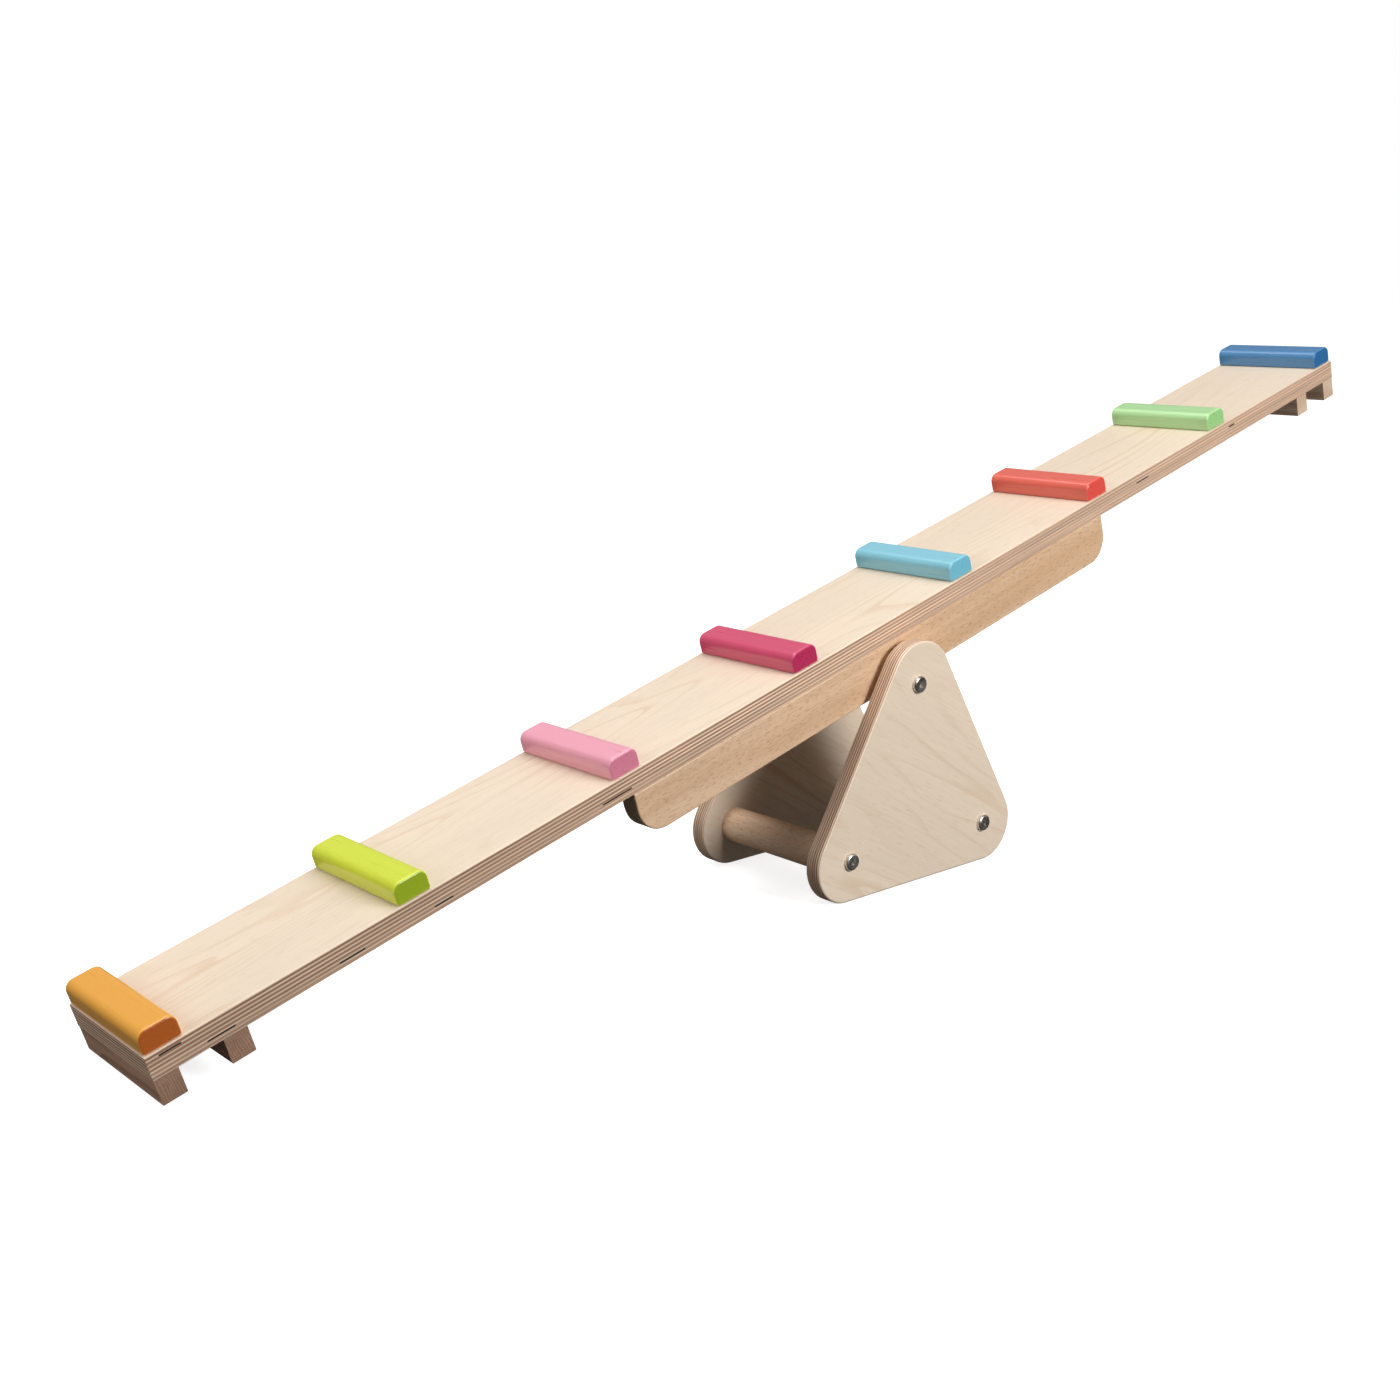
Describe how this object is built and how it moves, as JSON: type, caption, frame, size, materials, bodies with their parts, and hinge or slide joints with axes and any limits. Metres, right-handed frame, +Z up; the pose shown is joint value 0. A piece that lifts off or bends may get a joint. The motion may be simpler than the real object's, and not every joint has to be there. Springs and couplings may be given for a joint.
{
  "type": "seesaw",
  "caption": "Long plywood plank with painted foot bars and end hook blocks, rocking on a low triangular stand with round rails.",
  "frame": {"origin": "on the floor, at the middle of the ground that the seesaw covers at rest, with its left end down; the pivot is 13.0 mm towards +X and 200 mm up", "axes": "+X along the seesaw towards its raised end, +Y across it to the far side, +Z up"},
  "size_m": [1.5516, 0.191, 0.4981],
  "materials": {
    "plank_ply": "clear satin lacquer on birch plywood, faces pale, edges showing the layers",
    "plate_ply": "clear matt lacquer on birch plywood",
    "beech": "planed and oiled solid beech",
    "block_wood": "planed solid hardwood, end grain at the ends",
    "rail_wood": "smooth turned beech",
    "bolt_steel": "zinc-plated steel, lightly polished",
    "screw_steel": "yellow zinc-plated steel",
    "paint_orange": "satin water-based paint on hardwood",
    "paint_lime": "satin water-based paint on hardwood",
    "paint_pink": "satin water-based paint on hardwood",
    "paint_magenta": "satin water-based paint on hardwood",
    "paint_sky": "satin water-based paint on hardwood",
    "paint_red": "satin water-based paint on hardwood",
    "paint_green": "satin water-based paint on hardwood",
    "paint_blue": "satin water-based paint on hardwood"
  },
  "bodies": {
    "stand": {"side_plate_near": "plate_ply", "side_plate_far": "plate_ply", "pivot_rail": "rail_wood", "base_rail_left": "rail_wood", "base_rail_right": "rail_wood", "bolts_near": "bolt_steel", "bolts_far": "bolt_steel", "inserts_near": "screw_steel", "inserts_far": "screw_steel"},
    "board": {"plank": "plank_ply", "bar_orange": "paint_orange", "bar_lime": "paint_lime", "bar_pink": "paint_pink", "bar_magenta": "paint_magenta", "bar_sky": "paint_sky", "bar_red": "paint_red", "bar_green": "paint_green", "bar_blue": "paint_blue", "hook_block_left_outer": "block_wood", "hook_block_left_inner": "block_wood", "hook_block_right_inner": "block_wood", "hook_block_right_outer": "block_wood", "beam_near": "beech", "beam_far": "beech", "beam_pins": "beech", "bar_screws": "screw_steel", "end_screws": "screw_steel", "inner_block_screws": "screw_steel"}
  },
  "joints": [
    {"name": "board_pivot", "type": "hinge", "parent": "stand", "child": "board", "pos_m": [0.01296, 0, 0.2], "axis": [0, 1, 0], "range_deg": [0, 31.97]}
  ]
}
